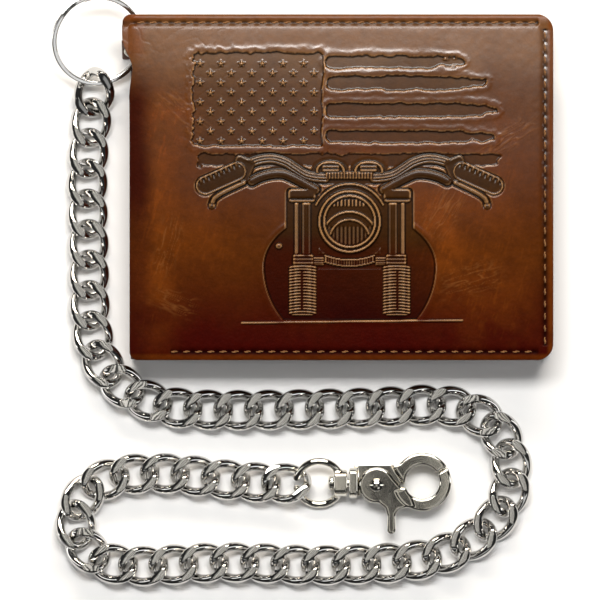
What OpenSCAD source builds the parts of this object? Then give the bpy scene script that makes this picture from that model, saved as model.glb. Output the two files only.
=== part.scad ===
// Chain wallet: a closed leather bifold with a curb chain, a split ring and a swivel trigger clasp.
// Millimetres, +Z up. The origin is the centre of the rear cover's resting face.
// The fold lies along the left edge, -X, and the wallet opens from the right edge, +X.

/* [Wallet] */
// Width of the closed wallet, from the fold to the open edge
wallet_w = 114.4; // [110:0.2:116]
// Height of the closed wallet, along the fold
wallet_h = 93.4; // [92:0.2:96]
// Radius of the two corners at the open edge
corner_r = 4; // [2:0.5:8]
// Thickness of the rear cover's leather
rear_cover_t = 1.6; // [1.4:0.1:1.6]
// Thickness of the front cover's leather, with its embossed relief
front_cover_t = 2; // [1.6:0.1:2]
// Thickness of the closed wallet
wallet_t = 14.5; // [14.3:0.1:14.8]
// Width of the strip of leather inside the seams
seam_inset = 2.2; // [1.8:0.1:2.6]

/* [Card pockets] */
// Thickness of one card pocket's leather
pocket_t = 0.6; // [0.4:0.1:0.6]
// Height of the highest pocket's mouth above the wallet's middle
pocket_top = 26; // [20:1:30]
// Step from one pocket's mouth down to the next
pocket_step = 13; // [10:1:15]

/* [Chain] */
// Wire thickness of a curb link
link_wire = 2.6; // [2.2:0.1:2.8]
// Outer width of a curb link
link_w = 11.3; // [11:0.1:12]
// Thickness of the chain between its cut flats
chain_t = 5; // [4.6:0.1:5.2]
// Twist of a link at each of its ends, in degrees
link_twist = 45; // [42:1:50]

/* [Rings] */
// Outer radius of the split ring
split_ring_r = 12.6; // [12.4:0.1:12.8]
// Inner radius of the eyelet
eyelet_r = 2.6; // [2.5:0.1:2.8]
// Middle radius of the clasp's end ring
end_ring_r = 6.2; // [6:0.1:6.4]
// Wire radius of the clasp's end ring
end_ring_wire_r = 1; // [0.9:0.05:1.1]

/* [Clasp] */
// Radius of the hook's hole
hook_r = 4.6; // [4.2:0.1:4.8]
// Outer radius of the hook
hook_outer_r = 7.9; // [7.4:0.1:8.2]
// Radius of the lever's round boss
boss_r = 4.8; // [4.4:0.1:4.8]
// Radius of the rivet's shaft
rivet_r = 1; // [0.8:0.1:1.2]
// Gap between each shaft and the hole that it turns in
running_gap = 0.05; // [0.02:0.01:0.08]

/* [Hidden] */
$fn = 48;

x0 = -wallet_w / 2;
x1 = wallet_w / 2;
y0 = -wallet_h / 2;
y1 = wallet_h / 2;
stack_x0 = x0 + 7.2;
stack_x1 = x1 - 1.2;

// Levels of the layers, from the resting face up
lining_t = 0.4;
divider_z = 2.3;
divider_t = 0.3;
panel_t = 0.8;
strip_w = 2.4;
rear_panel_z = 2.9;
rear_pocket_z = rear_panel_z + panel_t;
flap_z = 6.5;
front_cover_z = wallet_t - front_cover_t;
front_panel_z = 10;
front_pocket_z = front_panel_z - pocket_t;

// The leaf between the halves, with its window
flap_x0 = -49;
flap_x1 = 50;
flap_y0 = -40;
flap_y1 = 38;
window_x0 = -36;
window_x1 = 40;
window_y0 = -30;
window_y1 = 24;
frame_t = 0.6;
window_t = 0.3;

// The spine's leather wall, in a strip on each side of the fold line
spine_t = 1.5;
spine_top_y = 22;
spine_split_z = 7.9;
spine_split_gap = 0.4;

// The seam's stitches, slanted in their row
stitch_pitch = 3.3;
stitch_slant = 8;

// The corner where the chain is fastened
notch_x = -50.4;
notch_y = 33.5;
eyelet_pos = [-55.2, 37.5, 4];
eyelet_tilt = 60;
tab_t = 1;
tab_w = 8.8;
flange_r = 3.8;
flange_t = 0.3;
barrel_t = 0.3;

// The split ring: two flat coils, tilted to pass through the eyelet and leaning over the chain
split_ring_pos = [-66.1, 40, 6.6];
split_ring_tilt = 14;
split_ring_lean = 10;
coil_w = 1.35;
coil_t = 0.75;
coil_gap = 0.1;

// The route of the chain's joints, from the split ring to the end ring
ROUTE = [
    [-66.4, 30], [-67.6, 21], [-68.6, 11], [-69, 0], [-68.6, -15], [-68.4, -30], [-67.6, -41],
    [-64, -50], [-57, -56], [-48, -59.5], [-36, -60.4], [-20, -60.4], [0, -60], [13, -59.6],
    [25, -58.8], [34, -60], [41.4, -63.8], [45.6, -71], [46.8, -79], [44.6, -86.6], [39, -93.4],
    [30, -99], [19, -101.6], [5, -102.3], [-10, -102.6], [-25, -101.8], [-40, -102], [-51, -102.8],
    [-60.5, -102.7], [-66.6, -101.1], [-71.2, -96.6], [-72.8, -90.4], [-71.2, -84.2], [-66.6, -79.8],
    [-60.5, -78], [-46, -77.6], [-32, -79.3], [-20, -80.3], [-10.8, -80.3]
];
LINKS = 50;
STEPS = 12;
link_rings = 16;
link_sides = 8;
link_slack = 0.25;
link_square = 2.5;
// How the first and the last link hang in their rings: the roll, the rise and the pitch
first_hang = [8, 0.75, 10];
last_hang = [-6.5, 0.5, -3];

// The clasp, with its swivel axis along X
clasp_y = -80.2;
clasp_z = 3;
end_ring_x = -6;
end_ring_tilt = 18;
collar_half_t = 2.95;
stud_r = 1.2;
rivet_x = 9.6;
rivet_y = -80.8;
hook_x = 22;
hook_y = -79.9;
clasp_bottom = 0.4;
clasp_top = 5.6;
plate_top = 2.4;
lever_bottom = 2.6;
jaw_tip = 30;
spring_r = 2.5;
spring_wire_r = 0.35;
spring_z = 3.15;

// A Catmull-Rom spline through the route's points
function end_point(i) =
    i < 0 ? 2 * ROUTE[0] - ROUTE[1]
    : i >= len(ROUTE) ? 2 * ROUTE[len(ROUTE) - 1] - ROUTE[len(ROUTE) - 2]
    : ROUTE[i];
function spline(a, b, c, d, t) =
    (2 * b + (c - a) * t + (2 * a - 5 * b + 4 * c - d) * t * t + (3 * b - a - 3 * c + d) * t * t * t) / 2;
CURVE = [
    for (i = [0 : len(ROUTE) - 2], k = [0 : STEPS - 1])
        spline(end_point(i - 1), end_point(i), end_point(i + 1), end_point(i + 2), k / STEPS),
    ROUTE[len(ROUTE) - 1]
];
ALONG = [
    for (
        i = 0, s = 0;
        i < len(CURVE);
        i = i + 1, s = s + (i < len(CURVE) ? norm(CURVE[i] - CURVE[i - 1]) : 0)
    ) s
];
route_length = ALONG[len(ALONG) - 1];
pitch = route_length / LINKS;
TABLE_X = [for (i = [0 : len(CURVE) - 1]) [ALONG[i], CURVE[i][0]]];
TABLE_Y = [for (i = [0 : len(CURVE) - 1]) [ALONG[i], CURVE[i][1]]];
function joint_at(k) = [lookup(k * pitch, TABLE_X), lookup(k * pitch, TABLE_Y)];

// A curb link: a squared oval, twisted about the chain's line, with flats cut above and below
link_a = pitch / 2 + link_wire / 2 + link_slack;
link_b = (link_w - link_wire) / 2;
function power(v) = sign(v) * pow(abs(v), 2 / link_square);
function link_axis(t) =
    let (x = link_a * power(cos(t)), y = link_b * power(sin(t)), turn = -link_twist * x / link_a)
    [x, y * cos(turn), y * sin(turn)];
function link_normal(t) =
    let (turn = -link_twist * power(cos(t)))
    [0, -sin(turn), cos(turn)];
function unit(v) = v / norm(v);
function flat(p) = [p[0], p[1], max(-chain_t / 2, min(chain_t / 2, p[2]))];
function link_point(i, k) =
    let (
        t = 360 * (i + 0.5) / link_rings,
        q = 360 * (k + 0.5) / link_sides,
        step = 360 / link_rings,
        along = unit(link_axis(t + step) - link_axis(t - step)),
        side = unit(cross(link_normal(t), along)),
        up = cross(along, side)
    )
    flat(link_axis(t) + link_wire / 2 * (cos(q) * side + sin(q) * up));
LINK_POINTS = [for (i = [0 : link_rings - 1], k = [0 : link_sides - 1]) link_point(i, k)];
function link_index(i, k) = (i % link_rings) * link_sides + k % link_sides;
LINK_FACES = [
    for (i = [0 : link_rings - 1], k = [0 : link_sides - 1])
        each [
            [link_index(i, k), link_index(i + 1, k + 1), link_index(i + 1, k)],
            [link_index(i, k), link_index(i, k + 1), link_index(i + 1, k + 1)]
        ]
];

function two_digits(n) = str(n < 10 ? "0" : "", n);
CHAIN_NODES = [
    for (p = [1 : LINKS / 2]) str("chain_links_", two_digits(2 * p - 1), "_", two_digits(2 * p))
];

// A flat outline with its own corner radius on the left and on the right
module outline(left, right, bottom, top, left_r, right_r) {
    translate([left + left_r, bottom]) square([right - left - left_r - right_r, top - bottom]);
    translate([left, bottom + left_r]) square([left_r, top - bottom - 2 * left_r]);
    translate([right - right_r, bottom + right_r]) square([right_r, top - bottom - 2 * right_r]);
    for (y = [bottom + left_r, top - left_r]) translate([left + left_r, y]) circle(r = left_r);
    for (y = [bottom + right_r, top - right_r]) translate([right - right_r, y]) circle(r = right_r);
}

module sheet(z, t) {
    translate([0, 0, z]) linear_extrude(t) children();
}

// The corner that is left open for the chain's tab
module notch() {
    translate([x0 - 5, notch_y]) square([notch_x - x0 + 5, y1]);
}

module rear_outer_cover() {
    color("saddlebrown") sheet(0, rear_cover_t) difference() {
        outline(x0, x1, y0, y1, 1, corner_r);
        notch();
    }
}

module bill_lining(z) {
    color("tan") sheet(z, lining_t) outline(stack_x0, stack_x1, y0 + 1, y1 - 1, 1, 3);
}

module rear_bill_lining() {
    bill_lining(rear_cover_t);
}

module front_bill_lining() {
    bill_lining(front_cover_z - lining_t);
}

module bill_divider() {
    color("wheat") sheet(divider_z, divider_t)
        outline(stack_x0, stack_x1 - strip_w - 0.2, y0 + 1.2 + strip_w, y1 - 6, 1, 3);
}

// The leather strip that closes a bill pocket along its bottom and its open end
module edge_strip(z, top) {
    color("sienna") sheet(z, top - z) difference() {
        outline(stack_x0, stack_x1, y0 + 1, y1 - 4, 1, 3);
        outline(stack_x0 - 5, stack_x1 - strip_w, y0 + 1 + strip_w, y1, 1, 2);
    }
}

module rear_edge_strip() {
    edge_strip(rear_cover_t + lining_t, rear_panel_z);
}

module front_edge_strip() {
    edge_strip(front_panel_z + panel_t, front_cover_z - lining_t);
}

module rear_inner_panel() {
    color("sienna") sheet(rear_panel_z, panel_t) outline(stack_x0, stack_x1, y0 + 1, y1 - 4, 1, 3);
}

module front_inner_panel() {
    color("sienna") sheet(front_panel_z, panel_t) outline(stack_x0, stack_x1, y0 + 1, y1 - 4, 1, 3);
}

// Pocket n counts from the inner panel: each lies on the one before it, with a lower mouth
module card_pocket(n, z) {
    color("peru") sheet(z, pocket_t)
        outline(stack_x0, stack_x1, y0 + 1, pocket_top - pocket_step * (n - 1), 0.5, 0.5);
}

module rear_card_pocket_1() {
    card_pocket(1, rear_pocket_z);
}

module rear_card_pocket_2() {
    card_pocket(2, rear_pocket_z + pocket_t);
}

module rear_card_pocket_3() {
    card_pocket(3, rear_pocket_z + 2 * pocket_t);
}

module front_card_pocket_1() {
    card_pocket(1, front_pocket_z);
}

module front_card_pocket_2() {
    card_pocket(2, front_pocket_z - pocket_t);
}

module front_card_pocket_3() {
    card_pocket(3, front_pocket_z - 2 * pocket_t);
}

module spine_strip(z, top) {
    color("saddlebrown") translate([x0, y0, z]) cube([spine_t, spine_top_y - y0, top - z]);
}

module spine_leather_rear() {
    spine_strip(rear_cover_t, spine_split_z - spine_split_gap / 2);
}

module spine_leather_front() {
    spine_strip(spine_split_z + spine_split_gap / 2, front_cover_z);
}

module at_eyelet() {
    translate(eyelet_pos) rotate([eyelet_tilt, 0, 0]) children();
}

module chain_tab() {
    color("saddlebrown") difference() {
        union() {
            at_eyelet() translate([-tab_w / 2, -4.6, -tab_t / 2]) cube([tab_w, 9.2, tab_t]);
            translate([-55.5, 20, rear_cover_t]) cube([5.1, 16.2, 1]);
        }
        at_eyelet() cylinder(r = eyelet_r + barrel_t, h = 3 * tab_t, center = true);
        at_eyelet() translate([0, 0, tab_t / 2]) cylinder(r = flange_r + 0.2, h = 3 * tab_t);
        translate([x0 - 5, 20, -2]) cube([20, 30, 2]);
    }
}

module eyelet() {
    color("silver") at_eyelet() difference() {
        union() {
            translate([0, 0, -tab_t / 2 - flange_t])
                cylinder(r = eyelet_r + barrel_t, h = tab_t + 2 * flange_t);
            translate([0, 0, tab_t / 2]) cylinder(r = flange_r, h = flange_t);
        }
        cylinder(r = eyelet_r, h = 4 * tab_t, center = true);
    }
}

module eyelet_washer() {
    color("silver") at_eyelet() translate([0, 0, -tab_t / 2 - flange_t]) difference() {
        cylinder(r = flange_r, h = flange_t);
        translate([0, 0, -flange_t]) cylinder(r = eyelet_r + barrel_t, h = 3 * flange_t);
    }
}

// The front cover's left end, which narrows to a waist and bulges past the fold line over the split ring
module cover_end() {
    polygon([
        [x0 + 8, y0], [x0 + 0.8, y0], [x0, y0 + 0.8], [x0, 28], [x0 + 0.6, 32], [x0 - 0.6, 35.5],
        [x0 - 2, 39.5], [x0 - 2, y1 - 2], [x0 - 1.4, y1 - 0.6], [x0, y1], [x0 + 8, y1]
    ]);
}

module front_outer_cover() {
    color("saddlebrown") union() {
        sheet(front_cover_z, front_cover_t) outline(x0 + 5, x1, y0, y1, 0.5, corner_r);
        sheet(front_cover_z, front_cover_t) cover_end();
    }
}

// One stitch lies flat on the front cover, turned along its seam
module stitch(x, y, turn) {
    translate([x, y, wallet_t + 0.15]) rotate([0, 0, turn]) cube([2.3, 0.8, 0.3], center = true);
}

module seam_thread() {
    color("tan") {
        seam_x = x1 - seam_inset;
        seam_y = y1 - seam_inset;
        for (x = [x0 + 3 : stitch_pitch : seam_x - 3]) stitch(x, seam_y, stitch_slant);
        for (x = [x0 + 12 : stitch_pitch : seam_x - 3]) stitch(x, -seam_y, stitch_slant);
        for (y = [-seam_y + 3 : stitch_pitch : seam_y - 2]) stitch(seam_x, y, 90 + stitch_slant);
    }
}

module id_flap_panel() {
    color("sienna") sheet(flap_z, panel_t) outline(flap_x0, flap_x1, flap_y0, flap_y1, 1, 4);
}

module id_flap_frame() {
    color("peru") sheet(flap_z - frame_t, frame_t) difference() {
        outline(flap_x0 + 5, flap_x1 - 2, flap_y0 + 2, flap_y1 - 6, 1, 3);
        outline(window_x0, window_x1, window_y0, window_y1, 2, 2);
    }
}

module id_window() {
    color("lightcyan", 0.5) sheet(flap_z - window_t, window_t)
        outline(window_x0, window_x1, window_y0, window_y1, 2, 2);
}

// The coils are one flat wire, which crosses from the lower coil to the upper one
module split_ring() {
    color("silver") translate(split_ring_pos)
    rotate([split_ring_tilt, 0, 0]) rotate([0, split_ring_lean, 0]) {
        for (z = [-coil_t - coil_gap / 2, coil_gap / 2])
            rotate_extrude($fn = 72) translate([split_ring_r - coil_w, z]) square([coil_w, coil_t]);
        rotate([0, 0, 130]) rotate_extrude(angle = 40, $fn = 72)
            translate([split_ring_r - coil_w + 0.2, -coil_t / 2]) square([coil_w - 0.4, coil_t]);
    }
}

module link(k) {
    from = joint_at(k);
    to = joint_at(k + 1);
    middle = (from + to) / 2;
    heading = atan2(to[1] - from[1], to[0] - from[0]);
    hang = k == 0 ? first_hang : k == LINKS - 1 ? last_hang : [0, 0, 0];
    translate([middle[0], middle[1], chain_t / 2 + hang[1]]) rotate([0, 0, heading])
        rotate([0, hang[2], 0]) rotate([hang[0], 0, 0])
        polyhedron(points = LINK_POINTS, faces = LINK_FACES, convexity = 6);
}

module chain_links(pair) {
    color("silver") {
        link(2 * pair);
        link(2 * pair + 1);
    }
}

module along_x(x) {
    translate([x, clasp_y, clasp_z]) rotate([0, 90, 0]) children();
}

// A round collar about the swivel axis, flattened above and below
module collar(x, length, r) {
    intersection() {
        along_x(x) cylinder(r = r, h = length);
        translate([x - 1, clasp_y - r, clasp_z - collar_half_t])
            cube([length + 2, 2 * r, 2 * collar_half_t]);
    }
}

module swivel_ring() {
    color("silver") difference() {
        union() {
            translate([end_ring_x, clasp_y, clasp_z]) rotate([end_ring_tilt, 0, 0]) rotate_extrude($fn = 72)
                translate([end_ring_r, 0]) circle(r = end_ring_wire_r, $fn = 24);
            collar(-2, 3.6, 3.7);
        }
        along_x(-4) cylinder(r = stud_r + running_gap, h = 8);
    }
}

module swivel_stud() {
    color("silver") {
        along_x(-3.6) cylinder(r = 2.05, h = 1.5);
        along_x(-2.2) cylinder(r = stud_r, h = 6.2);
    }
}

// A pie slice about the hook's middle, from one angle to another
module slice(from, to) {
    far = 20;
    polygon([
        [0, 0],
        for (i = [0 : 4]) let (a = from + (to - from) * i / 4) [far * cos(a), far * sin(a)]
    ]);
}

// Half of the hook, from one angle to another, with the web that carries it
module jaw(from, to) {
    difference() {
        union() {
            translate([hook_x, hook_y]) intersection() {
                circle(r = hook_outer_r);
                slice(from, to);
            }
            children();
        }
        translate([hook_x, hook_y]) circle(r = hook_r);
    }
}

module clasp_body() {
    color("silver") difference() {
        union() {
            collar(2.1, 2.3, 4.2);
            sheet(clasp_bottom, plate_top - clasp_bottom) {
                translate([rivet_x, rivet_y]) circle(r = boss_r + 0.2);
                translate([3.5, clasp_y - 3.6]) square([6, 8.6]);
                polygon([[9, -75.2], [14.2, -75.2], [16.9, -80.4], [9, -81]]);
            }
            sheet(clasp_bottom, clasp_top - clasp_bottom)
                jaw(jaw_tip + 2, 157)
                    polygon([[13.8, -75.5], [16.5, -74.6], [21, -74], [21, -80], [16.9, -80.4]]);
        }
        translate([rivet_x, rivet_y, -1]) cylinder(r = rivet_r, h = 10);
        along_x(1) cylinder(r = stud_r, h = 3);
    }
}

module clasp_lever() {
    color("silver") difference() {
        union() {
            sheet(lever_bottom, clasp_top - lever_bottom) difference() {
                union() {
                    translate([rivet_x, rivet_y]) circle(r = boss_r);
                    polygon([
                        [11.6, -76.5], [12.6, -77.1], [16.3, -81.3], [18, -81.3], [20, -86.5], [17, -87],
                        [15.6, -87.4], [14.8, -88.6], [12.4, -88.6], [11.9, -87], [10, -85.5]
                    ]);
                    translate([12.4, -92.8]) square([2.4, 5.8]);
                    translate([13.6, -92.8]) circle(r = 1.2);
                }
                translate([hook_x, hook_y]) circle(r = hook_r + 0.1);
            }
            sheet(clasp_bottom, clasp_top - clasp_bottom) jaw(198, 360 + jaw_tip);
        }
        translate([rivet_x, rivet_y, -1]) cylinder(r = rivet_r + running_gap, h = 10);
        translate([rivet_x, rivet_y, lever_bottom - 1]) difference() {
            cylinder(r = spring_r + 0.8, h = 2.4);
            cylinder(r = spring_r - 0.8, h = 2.4);
        }
    }
}

module clasp_rivet() {
    color("silver") translate([rivet_x, rivet_y, 0]) {
        cylinder(r = 1.8, h = clasp_bottom);
        cylinder(r = rivet_r, h = clasp_top + 0.3);
        translate([0, 0, clasp_top + running_gap]) intersection() {
            translate([0, 0, -1.6]) sphere(r = 2.5);
            cylinder(r = 1.9, h = 1);
        }
    }
}

module clasp_spring() {
    color("gray") translate([rivet_x, rivet_y, spring_z])
        rotate_extrude() translate([spring_r, 0]) circle(r = spring_wire_r, $fn = 24);
}

rear_outer_cover();
rear_bill_lining();
bill_divider();
rear_edge_strip();
rear_inner_panel();
rear_card_pocket_1();
rear_card_pocket_2();
rear_card_pocket_3();
spine_leather_rear();
spine_leather_front();
chain_tab();
eyelet();
eyelet_washer();
front_outer_cover();
front_bill_lining();
front_edge_strip();
front_inner_panel();
front_card_pocket_1();
front_card_pocket_2();
front_card_pocket_3();
seam_thread();
id_flap_panel();
id_flap_frame();
id_window();
split_ring();
swivel_ring();
swivel_stud();
clasp_body();
clasp_lever();
clasp_rivet();
clasp_spring();
for (pair = [0 : LINKS / 2 - 1]) chain_links(pair);
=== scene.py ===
"""A leather chain wallet: embossed bifold, curb chain, split ring and swivel trigger clasp."""
import math

import bmesh
import bpy
import numpy as np
from mathutils import Matrix, Vector


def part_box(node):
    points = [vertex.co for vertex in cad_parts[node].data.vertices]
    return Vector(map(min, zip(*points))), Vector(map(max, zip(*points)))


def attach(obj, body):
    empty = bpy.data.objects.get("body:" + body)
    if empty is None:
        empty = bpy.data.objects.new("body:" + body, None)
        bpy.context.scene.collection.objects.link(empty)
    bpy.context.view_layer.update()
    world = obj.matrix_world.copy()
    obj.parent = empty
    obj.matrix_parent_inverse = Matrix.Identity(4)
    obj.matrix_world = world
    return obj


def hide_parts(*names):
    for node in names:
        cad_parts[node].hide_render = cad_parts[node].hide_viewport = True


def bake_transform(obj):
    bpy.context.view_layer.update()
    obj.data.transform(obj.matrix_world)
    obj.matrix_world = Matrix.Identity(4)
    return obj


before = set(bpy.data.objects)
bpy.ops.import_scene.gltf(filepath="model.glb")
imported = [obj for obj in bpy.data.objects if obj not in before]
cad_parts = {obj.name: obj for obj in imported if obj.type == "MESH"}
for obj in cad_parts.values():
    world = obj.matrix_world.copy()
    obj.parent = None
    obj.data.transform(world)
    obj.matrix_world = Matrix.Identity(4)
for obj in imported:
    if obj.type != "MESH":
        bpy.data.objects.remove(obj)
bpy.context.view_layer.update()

MM = 0.001
TABLE = np.random.default_rng(11).random((256, 256)) * 2 - 1


# ---------------------------------------------------------------- numbers

def smooth(a, b, x):
    t = np.clip((x - a) / (b - a), 0, 1)
    return t * t * (3 - 2 * t)


def noise(x, y, scale, seed=0):
    """Value noise from -1 to 1 with features of about scale."""
    u, v = x / scale + seed * 17.31, y / scale + seed * 9.73
    i, j = np.floor(u).astype(int), np.floor(v).astype(int)
    fu, fv = u - i, v - j
    fu, fv = fu * fu * (3 - 2 * fu), fv * fv * (3 - 2 * fv)
    a, b = TABLE[i & 255, j & 255], TABLE[(i + 1) & 255, j & 255]
    c, d = TABLE[i & 255, (j + 1) & 255], TABLE[(i + 1) & 255, (j + 1) & 255]
    return (a * (1 - fu) + b * fu) * (1 - fv) + (c * (1 - fu) + d * fu) * fv


def fbm(x, y, scale, seed=0, octaves=4):
    total, weight = 0, 1
    for k in range(octaves):
        total = total + weight * noise(x, y, scale / 2 ** k, seed + 3 * k)
        weight *= 0.5
    return total / 1.9


def creases(x, y, scale, seed=0):
    """Thin connected lines, 1 on a line and 0 away from it."""
    warp = 0.6 * scale * fbm(x, y, scale * 1.5, seed + 5, 3)
    n = noise(x + warp, y - warp, scale, seed)
    return np.clip(1 - np.abs(n) * 7, 0, 1)


def segment(x, y, a, b):
    px, py, bx, by = x - a[0], y - a[1], b[0] - a[0], b[1] - a[1]
    t = np.clip((px * bx + py * by) / (bx * bx + by * by + 1e-12), 0, 1)
    return np.hypot(px - bx * t, py - by * t)


def polyline(x, y, points):
    d = segment(x, y, points[0], points[1])
    for a, b in zip(points[1:], points[2:]):
        d = np.minimum(d, segment(x, y, a, b))
    return d


def rounded_box(x, y, centre, half, r):
    qx, qy = np.abs(x - centre[0]) - half[0] + r, np.abs(y - centre[1]) - half[1] + r
    return np.hypot(np.maximum(qx, 0), np.maximum(qy, 0)) + np.minimum(np.maximum(qx, qy), 0) - r


def star(x, y, r):
    """Signed distance to a five-pointed star of outer radius r."""
    k1, k2 = (0.809016994, -0.587785252), (-0.809016994, -0.587785252)
    x = np.abs(x)
    d = np.maximum(x * k1[0] + y * k1[1], 0)
    x, y = x - 2 * d * k1[0], y - 2 * d * k1[1]
    d = np.maximum(x * k2[0] + y * k2[1], 0)
    x, y = x - 2 * d * k2[0], y - 2 * d * k2[1]
    x, y = np.abs(x), y - r
    ba = (0.42 * -k1[1], 0.42 * k1[0] - 1)
    h = np.clip((x * ba[0] + y * ba[1]) / (ba[0] ** 2 + ba[1] ** 2), 0, r)
    return np.hypot(x - ba[0] * h, y - ba[1] * h) * np.sign(y * ba[0] - x * ba[1])


def curve(points, per=6):
    """A Catmull-Rom spline through 2-D or 3-D points."""
    p = np.array(points, float)
    q = np.vstack([2 * p[0] - p[1], p, 2 * p[-1] - p[-2]])
    t = (np.arange(per) / per)[:, None]
    parts = [
        ((2 * b) + (c - a) * t + (2 * a - 5 * b + 4 * c - d) * t ** 2 + (3 * b - a - 3 * c + d) * t ** 3) / 2
        for a, b, c, d in zip(q, q[1:], q[2:], q[3:])
    ]
    return np.vstack(parts + [p[-1:]])


# ---------------------------------------------------------------- meshes

def mesh_data(name, verts, faces, colours=None):
    """A mesh from millimetre vertices and a list of face arrays, each with its own face size.
    The colours are RGB or RGBA, one for each vertex."""
    me = bpy.data.meshes.new(name)
    verts = np.asarray(verts, float) * MM
    faces = [np.asarray(f, np.int32) for f in faces if len(f)]
    me.vertices.add(len(verts))
    me.vertices.foreach_set("co", verts.astype(np.float32).ravel())
    loops = np.concatenate([f.ravel() for f in faces])
    sizes = np.concatenate([np.full(len(f), f.shape[1]) for f in faces])
    me.loops.add(len(loops))
    me.loops.foreach_set("vertex_index", loops)
    me.polygons.add(len(sizes))
    me.polygons.foreach_set("loop_start", np.concatenate([[0], np.cumsum(sizes)[:-1]]).astype(np.int32))
    me.update(calc_edges=True)
    me.validate()
    me.polygons.foreach_set("use_smooth", np.ones(len(me.polygons), bool))
    if colours is not None:
        attribute = me.color_attributes.new("tint", "FLOAT_COLOR", "POINT")
        rgba = np.ones((len(verts), 4), np.float32)
        rgba[:, :np.shape(colours)[1]] = colours
        attribute.data.foreach_set("color", rgba.ravel())
    return me


def add(name, shape, material, body, nodes=(), matrix=None, sharp=None):
    """A piece from a mesh, or from the vertices, faces and colours of one.
    Edges that turn by more than sharp degrees are marked."""
    me = shape if isinstance(shape, bpy.types.Mesh) else mesh_data(name, *shape)
    if sharp:
        sharpen(me, sharp)
    o = bpy.data.objects.new(name, me)
    bpy.context.scene.collection.objects.link(o)
    if not me.materials:
        me.materials.append(material)
    if matrix is not None:
        me.transform(matrix)
    if body:
        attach(o, body)
    if nodes:
        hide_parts(*nodes)
    return o


def sharpen(me, degrees):
    """Marks the edges that turn by more than this as sharp."""
    bm = bmesh.new()
    bm.from_mesh(me)
    limit = math.radians(degrees)
    for e in bm.edges:
        e.smooth = not (len(e.link_faces) == 2 and e.calc_face_angle(0) > limit)
    bm.to_mesh(me)
    bm.free()


def spaced(low, high, step, r, ends=6):
    """Rows from low to high: cosine-spaced over a corner of radius r at each end, and even between."""
    t = np.linspace(0, math.pi / 2, ends + 1)
    edge = r * (1 - np.cos(t))
    middle = np.linspace(low + r, high - r, max(2, int(round((high - low - 2 * r) / step))) + 1)
    return np.concatenate([low + edge[:-1], middle, (high - edge[:-1])[::-1]])


def slab(left, right, ys, columns, top, bottom, edge, ring=5):
    """A closed sheet over left(y)..right(y) between two heights, with a rounded edge of ring rows.
    Returns the vertices, the faces, and how many vertices the top has."""
    us = np.linspace(0, 1, columns)
    y = np.repeat(ys[:, None], columns, 1)
    l, r = left(ys)[:, None], right(ys)[:, None]
    x = l + (r - l) * us[None]
    ny, nx = x.shape
    zt, zb = top(x, y), bottom(x, y)
    upper = np.stack([x, y, zt], -1).reshape(-1, 3)
    lower = np.stack([x, y, zb], -1).reshape(-1, 3)
    index = np.arange(nx * ny).reshape(ny, nx)
    quads = np.stack([index[:-1, :-1], index[:-1, 1:], index[1:, 1:], index[1:, :-1]], -1).reshape(-1, 4)
    loop = np.concatenate([index[0, :-1], index[:-1, -1], index[-1, :0:-1], index[:0:-1, 0]])
    flat = upper[loop, :2]
    along = np.roll(flat, -1, 0) - np.roll(flat, 1, 0)
    along /= np.linalg.norm(along, axis=1)[:, None] + 1e-9
    out = np.stack([along[:, 1], -along[:, 0]], -1)
    n, count = len(loop), nx * ny
    rings = []
    for k in range(1, ring + 1):
        a = math.pi / 2 - math.pi * k / (ring + 1)
        z = (upper[loop, 2] + lower[loop, 2]) / 2 + (upper[loop, 2] - lower[loop, 2]) / 2 * math.sin(a)
        rings.append(np.column_stack([flat + out * (edge * math.cos(a)), z]))
    verts = np.vstack([upper, lower] + rings)
    bands = [loop] + [2 * count + k * n + np.arange(n) for k in range(ring)] + [loop + count]
    sides = [np.stack([a, b, np.roll(b, -1), np.roll(a, -1)], -1) for a, b in zip(bands, bands[1:])]
    return verts, [quads, quads[:, ::-1] + count] + sides, count


def skin(rings, closed=False, inside_out=False):
    """The vertices and faces over rings of points, all equally long, with a cap at each open end."""
    rows, count = rings.shape[:2]
    index = np.arange(rows * count).reshape(rows, count)
    a, b = (index, np.roll(index, -1, 0)) if closed else (index[:-1], index[1:])
    order = [a, np.roll(a, -1, 1), np.roll(b, -1, 1), b]
    if inside_out:
        order = [order[0], order[3], order[2], order[1]]
    caps = [] if closed else [index[0][None], index[-1][::-1][None]]
    if not inside_out:
        caps = [c[:, ::-1] for c in caps]
    return rings.reshape(-1, 3), [np.stack(order, -1).reshape(-1, 4)] + caps


def unit(v):
    return v / np.linalg.norm(v, axis=1)[:, None]


def tube(points, radius, sides=8, taper=1):
    """A tube along 3-D points that don't rise straight up."""
    p = np.asarray(points, float)
    t = unit(np.gradient(p, axis=0))
    s = unit(np.cross([[0, 0, 1.0]], t))
    u = np.cross(t, s)
    r = np.broadcast_to(radius, (len(p),)) * taper
    a = np.arange(sides) / sides * 2 * math.pi
    across = np.cos(a)[None, :, None] * s[:, None] + np.sin(a)[None, :, None] * u[:, None]
    return skin(p[:, None] + r[:, None, None] * across)


def joined(parts):
    """One vertex array and one face list from several."""
    verts, faces, base = [], [], 0
    for v, f in parts:
        verts.append(v)
        faces += [np.asarray(k) + base for k in f if len(k)]
        base += len(v)
    by_size = {}
    for f in faces:
        by_size.setdefault(f.shape[1], []).append(f)
    return np.vstack(verts), [np.vstack(f) for f in by_size.values()]


def lathe(profile, segments=48):
    """A closed profile of (radius, height) points, turned about Z."""
    p = np.asarray(profile, float)
    a = np.arange(segments) / segments * 2 * math.pi
    rings = np.stack([
        p[None, :, 0] * np.cos(a)[:, None], p[None, :, 0] * np.sin(a)[:, None],
        np.broadcast_to(p[None, :, 1], (segments, len(p)))], -1)
    return skin(rings, closed=True, inside_out=True)


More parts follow.
